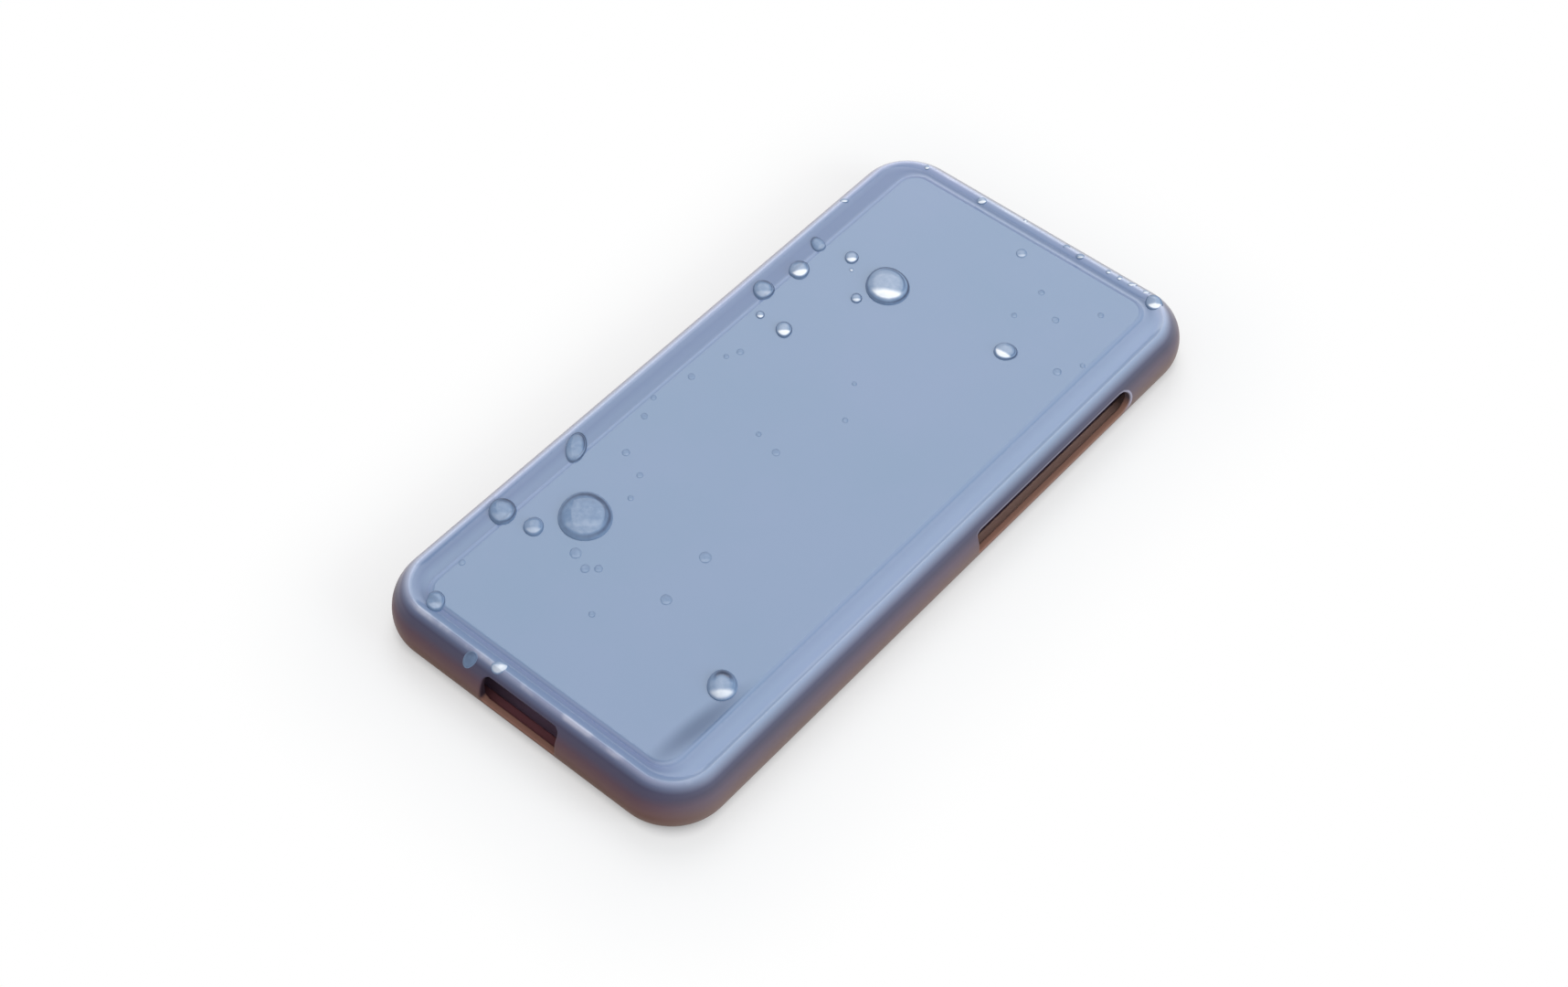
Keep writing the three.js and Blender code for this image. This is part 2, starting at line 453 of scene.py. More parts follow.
        lip = outline + self.outer_edge * way
        for mix in 1 - (1 - np.linspace(0.0, 1.0, skin + 1)[:-1]) ** self.crowd[0]:
            plane = (1 - mix) * outer_border + mix * lip
            add(plane, section.outer_inset(self.side, plane[:, 1]), 0.0, 0.0)
        for angle in np.radians(np.linspace(0, 90, roll + 1)):
            plane = outline + self.outer_edge * (1 - np.sin(angle)) * way
            depth = section.outer_inset(self.side, plane[:, 1]) + self.outer_edge * (1 - np.cos(angle))
            add(plane, depth, 0.0, float(np.sin(angle)) ** 2, float(np.cos(angle)))
        start = section.outer_inset(self.side, outline[:, 1]) + self.outer_edge
        end = section.inner_inset(outline[:, 1]) - self.inner_edge
        for mix in np.linspace(0, 1, wall + 1)[1:-1]:
            add(outline, (1 - mix) * start + mix * end, float(mix), 1.0)
        for angle in np.radians(np.linspace(0, 90, broken + 1)):
            plane = outline + self.inner_edge * (1 - np.cos(angle)) * way
            depth = section.inner_inset(plane[:, 1]) - self.inner_edge * (1 - np.sin(angle))
            add(plane, depth, 1.0, float(np.cos(angle)))
        brim = outline + self.inner_edge * way
        for mix in np.linspace(0.0, 1.0, back + 1)[1:] ** self.crowd[1]:
            plane = (1 - mix) * brim + mix * inner_border
            add(plane, section.inner_inset(plane[:, 1]), 1.0, 0.0)
        values = {"inside": np.stack(inside), "cut": np.stack(cut), "edge": np.stack(edge)}
        return np.stack(rings), values | {"sill": np.broadcast_to(sill, values["cut"].shape)}


# Nodes of the materials and of the world

@dataclass(frozen=True)
class Graph:
    """The nodes and links of one material or world, with a short way to add each kind of step."""

    nodes: bpy.types.Nodes
    links: bpy.types.NodeLinks

    def feed(self, node: bpy.types.Node, feeds: dict) -> None:
        """Links sockets to a node's inlets or sets the inlets; a colour gets its fourth number, 1.

        Args:
            node: The node.
            feeds: An inlet's name or number to a socket, a number, a vector or a colour.
        """
        for key, value in feeds.items():
            inlet = node.inputs[key]
            if isinstance(value, Socket):
                self.links.new(value, inlet)
            elif isinstance(value, tuple) and len(value) < len(inlet.default_value):
                inlet.default_value = (*value, 1.0)
            else:
                inlet.default_value = value

    def step(self, kind: str, feeds: dict, result: str, **settings: str) -> Socket:
        """Adds one node.

        Args:
            kind: Blender's name of the kind of node.
            feeds: What goes into it, as in feed.
            result: Name of the outlet to use.
            settings: The node's own settings.

        Returns:
            The outlet.
        """
        node = self.nodes.new(kind)
        for key, value in settings.items():
            setattr(node, key, value)
        self.feed(node, feeds)
        return node.outputs[result]

    def place(self) -> Socket:
        """Place of the shaded point on its piece, in metres."""
        return self.step("ShaderNodeTexCoord", {}, "Object")

    def attribute(self, name: str) -> Socket:
        """The value of a mesh attribute."""
        return self.step("ShaderNodeAttribute", {}, "Fac", attribute_name=name)

    def noise(self, scale: float, detail: float) -> Socket:
        """A noise's value at the point's place."""
        feeds = {"Vector": self.place(), "Scale": scale, "Detail": detail}
        return self.step("ShaderNodeTexNoise", feeds, "Fac")

    def length(self, vector: Socket) -> Socket:
        """Length of a vector."""
        return self.step("ShaderNodeVectorMath", {0: vector}, "Value", operation="LENGTH")

    def math(self, kind: str, a: Socket, b: Socket | float) -> Socket:
        """One step of arithmetic, by Blender's name of it, on a socket and a socket or number."""
        return self.step("ShaderNodeMath", {0: a, 1: b}, "Value", operation=kind)

    def product(self, first: Socket, *others: Socket | float) -> Socket:
        """Values multiplied together.

        Args:
            first: First value.
            others: The other sockets or numbers, at least one.

        Returns:
            The product's socket.
        """
        for other in others:
            first = self.math("MULTIPLY", first, other)
        return first

    def carry(self, value: Socket, before: tuple, after: tuple = (0.0, 1.0), smooth: bool = False) -> Socket:
        """A value carried from one range to another and held at its ends.

        Args:
            value: The socket to read.
            before: Where the value starts and ends.
            after: What these become.
            smooth: True for a smooth step.

        Returns:
            The result's socket.
        """
        feeds = {"Value": value, "From Min": before[0], "From Max": before[1], "To Min": after[0],
                 "To Max": after[1]}
        kind = "SMOOTHSTEP" if smooth else "LINEAR"
        return self.step("ShaderNodeMapRange", feeds, "Result", interpolation_type=kind)

    def mix(self, share: Socket | float, a: Socket | tuple, b: Socket | tuple, kind: str = "MIX") -> Socket:
        """Goes from one colour to another by a share.

        Args:
            share: 0 for the first colour and 1 for the second.
            a: First colour, a socket or three numbers.
            b: Second colour, likewise.
            kind: Blender's name of the way to mix.

        Returns:
            The colour's socket.
        """
        feeds = {"Factor": share, "A": a, "B": b}
        return self.step("ShaderNodeMix", feeds, "Result", data_type="RGBA", blend_type=kind)

    def tones(self, value: Socket, stops: tuple) -> Socket:
        """The colour at a value, from a run of tones.

        Args:
            value: The socket to read.
            stops: Pairs of place and colour, in order.

        Returns:
            The colour's socket.
        """
        ramp = self.nodes.new("ShaderNodeValToRGB")
        elements = ramp.color_ramp.elements
        for place, colour in stops[1:-1]:
            elements.new(place).color = (*colour, 1.0)
        for index in (0, -1):
            elements[index].position, elements[index].color = stops[index][0], (*stops[index][1], 1.0)
        self.feed(ramp, {"Fac": value})
        return ramp.outputs["Color"]

    def ray(self, kind: str) -> Socket:
        """1 on rays of a kind, by Blender's name of it, and 0 on others."""
        return self.step("ShaderNodeLightPath", {}, kind)

    def mirrored(self) -> Socket:
        """1 on rays that were reflected or went through clear matter."""
        return self.math("MAXIMUM", self.ray("Is Glossy Ray"), self.ray("Is Transmission Ray"))

    def show(self, output: str, share: Socket, a: Socket, b: Socket) -> None:
        """Ends the graph in a mix of two shaders.

        Args:
            output: Name of the output node.
            share: 0 for the first shader and 1 for the second.
            a: First shader.
            b: Second shader.
        """
        mixed = self.step("ShaderNodeMixShader", {"Fac": share, 1: a, 2: b}, "Shader")
        self.feed(self.nodes[output], {"Surface": mixed})


def new_material(name: str) -> tuple:
    """An empty node material.

    Args:
        name: Name of the material.

    Returns:
        The material, its graph and its shader node.
    """
    mat = bpy.data.materials.new(name)
    mat.use_nodes = True
    tree = mat.node_tree
    return mat, Graph(tree.nodes, tree.links), tree.nodes["Principled BSDF"]


# Materials

@dataclass(frozen=True)
class SmokedPlastic:
    """Satin smoky blue plastic, with light and shade painted into its colour: pale sky blue on the face,
    partly a painted sheen of bright sky, a painted navy shade on the shoulder and warm plum low down,
    partly the plastic's own tone and partly a painted warm reflection of a brown table.

    The colour follows the section of the case, given by the attribute "up_the_side", and each side's
    rim has its own run of tones over the shared flank: lit and shaded copies of the plastic, with a
    painted highlight on the crest and painted shade in the channel. The +X side is painted greyer and
    lighter low down, as if lit from that side. A clear gloss lies on the rim and the face only. In the
    names below a run is where a change begins and ends, a noise has its scale and detail, and a share
    is the most that is mixed in.
    """

    name: str = "smoked_plastic"
    # Flank tones shared by all sides: painted navy shade at the shoulder; low down, the plastic's warm plum
    # with a painted warm reflection of a brown table.
    flank: tuple = (
        (0.00, (0.150, 0.080, 0.045)),
        (0.17, (0.170, 0.090, 0.060)),
        (0.297, (0.150, 0.073, 0.058)),
        (0.36, (0.160, 0.086, 0.084)),
        (0.45, (0.133, 0.078, 0.098)),
        (0.53, (0.063, 0.051, 0.099)),
    )
    # Runs of each rim: lit and shaded copies of the plastic, with a painted highlight on the crest, painted
    # shade in the channel and a painted pale line at the panel's step.
    near_rim_painted_light: tuple = (
        (0.585, (0.038, 0.036, 0.090)),
        (0.63, (0.100, 0.125, 0.225)),
        (0.675, (0.285, 0.318, 0.460)),
        (0.705, (0.170, 0.245, 0.395)),
        (0.80, (0.130, 0.200, 0.350)),
        (0.86, (0.038, 0.098, 0.243)),
        (0.93, (0.058, 0.112, 0.275)),
        (0.97, (0.240, 0.305, 0.465)),
        (1.00, FACE_BLUE),
    )
    far_rim_painted_light: tuple = (
        (0.60, (0.040, 0.040, 0.110)),
        (0.685, (0.520, 0.575, 0.745)),
        (0.72, (0.290, 0.355, 0.530)),
        (0.765, (0.245, 0.315, 0.490)),
        (0.84, (0.085, 0.148, 0.295)),
        (0.875, (0.085, 0.150, 0.292)),
        (0.945, (0.270, 0.338, 0.495)),
        (0.99, (0.155, 0.212, 0.370)),
        (1.00, FACE_BLUE),
    )
    left_rim_painted_light: tuple = (
        (0.56, (0.145, 0.120, 0.205)),
        (0.605, (0.140, 0.140, 0.240)),
        (0.685, (0.515, 0.565, 0.740)),
        (0.735, (0.145, 0.215, 0.365)),
        (0.80, (0.100, 0.162, 0.312)),
        (0.91, (0.092, 0.158, 0.312)),
        (0.93, (0.124, 0.192, 0.350)),
        (0.955, (0.300, 0.397, 0.605)),
        (0.985, (0.230, 0.315, 0.505)),
        (1.00, FACE_BLUE),
    )
    # The +X side's run: painted lighter and greyer low down and on the rim, as if lit from that side, with a
    # painted highlight on the crest.
    right_side_painted_light: tuple = (
        (0.00, (0.190, 0.120, 0.090)),
        (0.297, (0.175, 0.118, 0.108)),
        (0.45, (0.140, 0.112, 0.140)),
        (0.53, (0.075, 0.070, 0.110)),
        (0.575, (0.073, 0.076, 0.132)),
        (0.62, (0.175, 0.200, 0.288)),
        (0.68, (0.300, 0.378, 0.520)),
        (0.76, (0.172, 0.265, 0.455)),
        (0.83, (0.175, 0.268, 0.442)),
        (0.91, (0.151, 0.234, 0.400)),
        (0.94, (0.166, 0.250, 0.413)),
        (0.975, (0.262, 0.344, 0.493)),
        (0.992, (0.240, 0.320, 0.468)),
        (1.00, FACE_BLUE),
    )
    # Inside tones, painted light: the hollow's walls dark maroon behind the port and bright orange brown
    # behind the keys, as lit through the openings; the sills painted lit and the cut's underside painted
    # shade.
    painted_light_wall_end: tuple = (0.270, 0.100, 0.112)
    painted_light_wall_side: tuple = (0.660, 0.410, 0.330)
    painted_light_sill_end: tuple = (0.345, 0.178, 0.135)
    painted_light_sill_side: tuple = (0.365, 0.190, 0.140)
    painted_shade_cut_end: tuple = (0.048, 0.030, 0.042)
    painted_shade_cut_side: tuple = (0.115, 0.085, 0.095)
    # Painted highlight on the openings' rolled outer edges.
    painted_edge_highlight: tuple = (0.420, 0.400, 0.500)
    ceiling: tuple = (0.190, 0.240, 0.360)
    # Painted broken highlights along the crest of the rim at both ends.
    painted_rim_highlight: tuple = (0.860, 0.880, 0.960)
    painted_rim_highlight_noise: tuple = (150.0, 3.0)
    painted_rim_highlight_run: tuple = (0.50, 0.66)
    painted_rim_highlight_share: float = 0.32
    painted_rim_highlight_rise: tuple = (0.635, 0.67)
    painted_rim_highlight_fall: tuple = (0.69, 0.72)
    # A painted dark reflection along the panel's edge near the corner at +X, -Y.
    painted_dark_reflection: tuple = (0.030, 0.082, 0.192)
    painted_dark_reflection_place: tuple = (0.0283, -0.0605, 0.0108)
    painted_dark_reflection_turn: float = -0.105
    painted_dark_reflection_reach: tuple = (0.0034, 0.0160, 0.00025)
    painted_dark_reflection_run: tuple = (1.0, 0.1)
    painted_dark_reflection_share: float = 0.95
    fade_run: tuple = (0.030, -0.065)
    fade_share: float = 0.7
    fade_edges: tuple = ((0.79, 0.87), (0.935, 0.91))
    facing_run: tuple = (-0.3, 0.3)
    cloud_noise: tuple = (38.0, 3.0)
    cloud_tints: tuple = ((0.955, 0.990, 0.985), (1.035, 1.005, 1.020))
    grain_noise: tuple = (700.0, 2.0)
    grain_swing: float = 0.03
    bump_strength: float = 0.05
    bump_height: float = 0.00004
    roughness: float = 0.34
    refraction: float = 1.45
    sheen: float = 0.12
    coat_run: tuple = (0.46, 0.56)
    coat_share: float = 0.9
    coat_roughness: float = 0.10
    coat_cut_run: tuple = (0.0, 0.5)

    def outer_colour(self, graph: Graph) -> Socket:
        """Colour of the outside skin, from the four sides' runs of tones, each with its own painted light
        and shade.

        The two ends are told apart by the sign of "facing_y" and the two long sides by that of
        "facing_x". Sides and ends blend round a corner by the square of "facing_x".

        Args:
            graph: The material's graph.

        Returns:
            The colour's socket.
        """
        up = graph.attribute("up_the_side")
        near, far, left = (graph.tones(up, self.flank + rim)
                           for rim in (self.near_rim_painted_light, self.far_rim_painted_light, self.left_rim_painted_light))
        right = graph.tones(up, self.right_side_painted_light)
        facing_x, facing_y = graph.attribute("facing_x"), graph.attribute("facing_y")
        ends = graph.mix(graph.carry(facing_y, self.facing_run), near, far)
        sides = graph.mix(graph.carry(facing_x, self.facing_run), self.faded(graph, up, left), right)
        return graph.mix(graph.product(facing_x, facing_x), ends, sides)

    def faded(self, graph: Graph, up: Socket, colour: Socket) -> Socket:
        """The -X side's tones, with the painted shade of its channel fading evenly towards the port's end.

        Args:
            graph: The material's graph.
            up: Share of the way up the side.
            colour: The side's colour.

        Returns:
            The colour's socket.
        """
        along = graph.step("ShaderNodeSeparateXYZ", {"Vector": graph.place()}, "Y")
        share = graph.carry(along, self.fade_run, (0.0, self.fade_share))
        for edge in self.fade_edges:
            share = graph.product(share, graph.carry(up, edge))
        return graph.mix(share, colour, FACE_BLUE)

    def skin_colour(self, graph: Graph) -> Socket:
        """Colour of all skins: the outside, the openings' edges, the hollow's walls and its ceiling, with
        painted light on the walls and the sills, painted shade on the cut's underside and a painted
        highlight on the openings' rolled edges.

        Args:
            graph: The material's graph.

        Returns:
            The colour's socket.
        """
        facing_x = graph.attribute("facing_x")
        side = graph.product(facing_x, facing_x)
        # Painted light on the hollow's walls and the sills, painted shade on the cut's underside.
        wall = graph.mix(side, self.painted_light_wall_end, self.painted_light_wall_side)
        sill = graph.mix(side, self.painted_light_sill_end, self.painted_light_sill_side)
        painted_shade = graph.mix(side, self.painted_shade_cut_end, self.painted_shade_cut_side)
        cut = graph.mix(graph.attribute("sill"), painted_shade, sill)
        inside = graph.attribute("inside")
        inner = graph.mix(graph.carry(inside, (1.0, 2.0)), wall, self.ceiling)
        colour = graph.mix(graph.carry(inside, (0.0, 1.0)), self.outer_colour(graph), inner)
        colour = graph.mix(graph.attribute("cut"), colour, cut)
        return graph.mix(graph.attribute("edge"), colour, self.painted_edge_highlight)

    def add_painted_dark_reflection(self, graph: Graph, colour: Socket) -> Socket:
        """A soft painted dark reflection along the panel's edge, near the corner at +X, -Y.

        Its strength falls off smoothly with the distance from the smear's middle, as a share of its
        reach each way.

        Args:
            graph: The material's graph.
            colour: Colour so far.

        Returns:
            The colour's socket.
        """
        feeds = {"Vector": graph.place(), "Location": self.painted_dark_reflection_place,
                 "Rotation": (0.0, 0.0, self.painted_dark_reflection_turn), "Scale": self.painted_dark_reflection_reach}
        away = graph.length(graph.step("ShaderNodeMapping", feeds, "Vector", vector_type="TEXTURE"))
        share = graph.carry(away, self.painted_dark_reflection_run, (0.0, self.painted_dark_reflection_share), smooth=True)
        return graph.mix(share, colour, self.painted_dark_reflection)

    def add_painted_rim_highlights(self, graph: Graph, colour: Socket) -> Socket:
        """Painted pale broken highlights along the crest of the rim at both ends, where a noise is high.

        Args:
            graph: The material's graph.
            colour: Colour so far.

        Returns:
            The colour's socket.
        """
        painted_highlight_share = graph.carry(graph.noise(*self.painted_rim_highlight_noise), self.painted_rim_highlight_run, (0.0, self.painted_rim_highlight_share),
                          smooth=True)
        facing_y = graph.attribute("facing_y")
        at_ends = graph.product(facing_y, facing_y)
        up = graph.attribute("up_the_side")
        rise = graph.carry(up, self.painted_rim_highlight_rise, smooth=True)
        fall = graph.carry(up, self.painted_rim_highlight_fall, (1.0, 0.0), smooth=True)
        return graph.mix(graph.product(painted_highlight_share, at_ends, graph.product(rise, fall)), colour, self.painted_rim_highlight)

    def material(self) -> bpy.types.Material:
        """Builds the node material.

        Returns:
            The material.
        """
        mat, graph, shader = new_material(self.name)
        colour = self.add_painted_rim_highlights(graph, self.add_painted_dark_reflection(graph, self.skin_colour(graph)))
        tint = graph.mix(graph.carry(graph.noise(*self.cloud_noise), NOISE_SPREAD), *self.cloud_tints)
        grain = graph.noise(*self.grain_noise)
        rough = (self.roughness - self.grain_swing, self.roughness + self.grain_swing)
        bump = {"Strength": self.bump_strength, "Distance": self.bump_height, "Height": grain}
        gloss = graph.carry(graph.attribute("up_the_side"), self.coat_run, (0.0, self.coat_share))
        uncut = graph.carry(graph.attribute("cut"), self.coat_cut_run, (1.0, 0.0))
        graph.feed(shader, {
            "Base Color": graph.mix(1.0, colour, tint, kind="MULTIPLY"),
            "Roughness": graph.carry(grain, NOISE_SPREAD, rough),
            "Normal": graph.step("ShaderNodeBump", bump, "Normal"),
            "IOR": self.refraction,
            "Specular IOR Level": self.sheen,
            "Coat Weight": graph.product(gloss, uncut),
            "Coat Roughness": self.coat_roughness,
            "Coat IOR": self.refraction,
        })
        return mat


@dataclass(frozen=True)
class ClearWater:
    """Drop of clear water, its light and shade painted into its colour: it takes the face's blue, with
    painted shade at its foot and a painted highlight where it gathers light.

    The attribute of painted light is 0 in the painted dark foot, a half where the face shows through
    unchanged and 1 in the painted bright crescent. A noise mottles it a little.
    """

    name: str = "clear_water"
    # Tones of the painted light: painted shade at 0, the face's own blue at a half and a painted highlight
    # at 1.
    stops: tuple = (
        (0.00, (0.024, 0.034, 0.072)),
        (0.25, (0.082, 0.117, 0.200)),
        (0.50, (0.178, 0.266, 0.420)),
        (0.70, (0.400, 0.480, 0.620)),
        (1.00, (0.930, 0.960, 1.000)),
    )
    mottle_noise: tuple = (900.0, 2.0)
    mottle_swing: float = 0.03
    roughness: float = 0.05
    refraction: float = 1.33

    def material(self) -> bpy.types.Material:
        """Builds the node material.

        Returns:
            The material.
        """
        mat, graph, shader = new_material(self.name)
        mottle = graph.carry(graph.noise(*self.mottle_noise), NOISE_SPREAD,
                             (-self.mottle_swing, self.mottle_swing))
        painted_drop_light = graph.math("ADD", graph.attribute("painted_drop_light"), mottle)
        graph.feed(shader, {"Base Color": graph.tones(painted_drop_light, self.stops), "Roughness": self.roughness,
                            "IOR": self.refraction})
        return mat


# Meshes

def add_object(name: str, data: bpy.types.ID) -> bpy.types.Object:
    """Makes an object and links it to the scene.

    Args:
        name: Name of the object.
        data: Its mesh, lamp or camera.

    Returns:
        The object.
    """
    piece = bpy.data.objects.new(name, data)
    bpy.context.scene.collection.objects.link(piece)
    return piece


def make_piece(name: str, points: np.ndarray, faces: np.ndarray, attributes: dict) -> bpy.types.Object:
    """Welds the points of a surface, stores its attributes and makes a smooth object of it.

    Args:
        name: Name of the piece.
        points: Array (n, 3) in millimetres.
        faces: Array (m, 4) of point numbers, turning left seen from outside.
        attributes: Name to array (n,) of values at the points.

    Returns:
        The object.
    """
    _, first, back = np.unique(np.round(points, WELD_DIGITS), axis=0, return_index=True,
                               return_inverse=True)
    faces = back.reshape(-1)[faces]
    doubled = (faces == np.roll(faces, -1, axis=1)).any(axis=1)
    quads = faces[~doubled].tolist()
    for face in faces[doubled]:
        kept = face[face != np.roll(face, -1)]
        if len(set(kept.tolist())) > 2:
            quads.append(kept.tolist())
    mesh = bpy.data.meshes.new(name)
    mesh.from_pydata((points[first] * MM).tolist(), [], quads)
    for key, values in attributes.items():
        layer = mesh.attributes.new(key, "FLOAT", "POINT")
        layer.data.foreach_set("value", values[first].astype(np.float32))
    mesh.polygons.foreach_set("use_smooth", np.ones(len(mesh.polygons), dtype=bool))
    mesh.validate()
    mesh.update()
    return add_object(name, mesh)


@dataclass
class Surface:
    """Gathers grids of points and their faces before they are welded to one mesh."""

    points: list = field(default_factory=list)
    faces: list = field(default_factory=list)
    values: dict = field(default_factory=dict)
    count: int = 0

    def add_grid(self, grid: np.ndarray, values: dict, keep: np.ndarray | None = None,
                 flip: bool = False) -> None:
        """Adds a grid of points with a face in each cell that is kept.

        Args:
            grid: Array (rows, columns, 3).
            values: Attribute name to array (rows, columns).
            keep: Array (rows - 1, columns - 1) that is true for the cells kept, if not all are.
            flip: Turns the faces the other way.
        """
        rows, columns = grid.shape[:2]
        number = self.count + np.arange(rows * columns).reshape(rows, columns)
        cells = np.stack([number[:-1, :-1], number[:-1, 1:], number[1:, 1:], number[1:, :-1]], axis=-1)
        cells = cells.reshape(-1, 4) if keep is None else cells[keep]
        self.faces.append(cells[:, ::-1] if flip else cells)
        self.points.append(grid.reshape(-1, 3))
        for key, value in values.items():
            self.values.setdefault(key, []).append(np.broadcast_to(value, (rows, columns)).reshape(-1))
        self.count += rows * columns

    def piece(self, name: str) -> bpy.types.Object:
        """Makes the welded object."""
        attributes = {key: np.concatenate(value) for key, value in self.values.items()}
        return make_piece(name, np.concatenate(self.points), np.concatenate(self.faces), attributes)


# The case

@dataclass
class CaseShell:
    """The one-piece moulded case: panel, rim, walls, lip and the two openings.

    The station lines of a side stop short of its corners, at its reach each way. Their spaces are
    counted before and after the opening's block.
    """

    sizes: CaseSizes
    finish: SmokedPlastic
    half_corner_steps: int = 14
    end_reach: float = 25.6
    end_spaces: tuple = (8, 8)
    long_reach: float = 65.9
    long_spaces: tuple = (35, 5)
    brim_rows: int = 6
    port: Opening = field(default_factory=lambda: Opening(
        side=Side.END, length=18.4, height=6.2, centre=(0.0, 6.1), near_radius=1.2, far_radius=1.2,
        block=(-12.0, 12.0), cells=26))
    keys: Opening = field(default_factory=lambda: Opening(
        side=Side.LONG, length=47.7, height=5.4, centre=(30.15, 5.7), near_radius=0.8, far_radius=2.6,
        block=(3.5, 57.0), cells=44, painted_edge_highlight_share=0.8))
    section: Section = field(init=False)
    ends: np.ndarray = field(init=False)
    longs: np.ndarray = field(init=False)
    tall: int = field(init=False)
    wide: int = field(init=False)

    def __post_init__(self) -> None:
        """Works out the section, the station lines and how many spaces a long side and an end have."""
        self.section = Section(self.sizes)
        self.ends = self.side_stations(self.port, self.end_reach, self.end_spaces)
        self.longs = self.side_stations(self.keys, self.long_reach, self.long_spaces)
        self.tall = 2 * self.half_corner_steps + 1 + len(self.longs)
        self.wide = 2 * self.half_corner_steps + 1 + len(self.ends)

    @staticmethod
    def side_stations(opening: Opening, reach: float, spaces: tuple) -> np.ndarray:
        """Places of the station lines along one side.

        Args:
            opening: The opening whose block they span.
            reach: How far they go from the side's middle.
            spaces: How many even spaces there are before the block and after it.

        Returns:
            Array of places.
        """
        start, end = opening.block
        return np.concatenate([
            np.linspace(-reach, start, spaces[0] + 1)[:-1],
            np.linspace(start, end, opening.cells + 1),
            np.linspace(end, reach, spaces[1] + 1)[1:]])

    def stations(self) -> np.ndarray:
        """Station lines round the outline, turning left from the middle of the corner at +X, -Y.

        A station's place is (a ex + f + n r) for x and likewise for y, where ex and ey are the
        middles of the corner arcs and r is their radius, so one line serves every inset.

        Returns:
            Array (stations + 1, 6): a, f and n for x, then for y. The last row repeats the first.
        """
        half = self.half_corner_steps
        parts = []
        for quarter, fixed in enumerate([self.longs, -self.ends, -self.longs, self.ends]):
            if quarter in (1, 2):
                fixed = np.sort(fixed)[::-1]
            base = quarter * 90.0
            before = np.radians(base + np.linspace(-45, 0, half + 1))
            after = np.radians(base + np.linspace(0, 45, half + 1)[:-1])
            corner = [(1, -1), (1, 1), (-1, 1), (-1, -1), (1, -1)]
            runs = (before, corner[quarter]), (None, (0, 0)), (after, corner[quarter + 1])
            for angle, (a, b) in runs:
                if angle is None:
                    zero = np.zeros_like(fixed)
                    out_x, out_y = np.round([np.cos(np.radians(base)), np.sin(np.radians(base))])
                    along_x = fixed if quarter % 2 else zero
                    along_y = zero if quarter % 2 else fixed
                    columns = zero + out_x, along_x, zero + out_x, zero + out_y, along_y, zero + out_y
                else:
                    zero = np.zeros_like(angle)
                    columns = zero + a, zero, np.cos(angle), zero + b, zero, np.sin(angle)
                parts.append(np.stack(columns, axis=1))
        return np.concatenate([*parts, parts[0][:1]])

    def ring_grid(self, rows: np.ndarray) -> np.ndarray:
        """Lays every row of the section round the outline.

        Args:
            rows: Array (r, 3) of side inset, end inset and height.

        Returns:
            Array (r, stations + 1, 3); the last column repeats the first.
        """
        s = self.sizes
        side, end, height = (rows[:, [k]] for k in range(3))
        radius = s.corner_radius - (side + end) / 2
        reach_x = s.width / 2 - side - radius
        reach_y = s.length / 2 - end - radius
        line = self.stations()
        x = line[:, 0] * reach_x + line[:, 1] + line[:, 2] * radius
        y = line[:, 3] * reach_y + line[:, 4] + line[:, 5] * radius
        return np.stack([x, y, np.broadcast_to(height, x.shape)], axis=-1)

    def block_columns(self, opening: Opening) -> tuple:
        """Columns of an opening's block in the ring grid.

        Args:
            opening: The opening.

        Returns:
            The first column and the last.
        """
        side = self.longs if opening.side is Side.LONG else self.ends
        passed = 0 if opening.side is Side.LONG else 2 * self.tall + self.wide
        first = passed + self.half_corner_steps + 1 + int(np.argmin(abs(side - opening.block[0])))
        return first, first + opening.cells

    def add_walls(self, surface: Surface) -> np.ndarray:
        """Adds both skins with the blocks of the openings left out.

        Args:
            surface: Where the grid goes.

        Returns:
            The ring grid.
        """
        grid = self.ring_grid(self.section.rows)
        keep = np.ones((grid.shape[0] - 1, grid.shape[1] - 1), dtype=bool)
        for opening in (self.port, self.keys):
            first, last = self.block_columns(opening)
            for low, high in (self.section.inner_range, self.section.outer_range):
                keep[low:high, first:last] = False
        up = self.section.row_runs()[:, None]
        within = np.arange(len(grid)) < self.section.inner_count - self.brim_rows
        inside = (within * self.section.inner_tone(self.section.rows[:, 2]))[:, None]
        line = self.stations()
        values = dict.fromkeys(("cut", "edge", "sill"), np.float64(0))
        values |= {"up_the_side": up, "inside": inside, "facing_x": line[:, 2], "facing_y": line[:, 5]}
        surface.add_grid(grid, values, keep)
        return grid

    def add_cap(self, surface: Surface, ring: np.ndarray, inside: float, flip: bool) -> None:
        """Closes a flat ring with a grid: the two pairs of facing edges blended, less the corners' blend.

        Args:
            surface: Where the grid goes.
            ring: Array (stations + 1, 3).
            inside: Value of the attribute "inside".
            flip: True for the ceiling, which faces down.
        """
        tall, wide = self.tall, self.wide
        right = ring[:tall + 1]
        top = ring[tall:tall + wide + 1][::-1]
        left = ring[tall + wide:2 * tall + wide + 1][::-1]
        bottom = ring[2 * tall + wide:]
        u = ((bottom[:, 0] - bottom[0, 0]) / (bottom[-1, 0] - bottom[0, 0]))[None, :, None]
        v = ((right[:, 1] - right[0, 1]) / (right[-1, 1] - right[0, 1]))[:, None, None]
        grid = (1 - v) * bottom[None] + v * top[None] + (1 - u) * left[:, None] + u * right[:, None]
        grid -= (1 - v) * ((1 - u) * bottom[0] + u * bottom[-1]) + v * ((1 - u) * top[0] + u * top[-1])
        values = dict.fromkeys(("cut", "edge", "sill", "facing_x", "facing_y"), np.float64(0))
        values |= {"up_the_side": np.float64(0.0 if inside else 1.0), "inside": np.float64(inside)}
        surface.add_grid(grid, values, flip=flip)

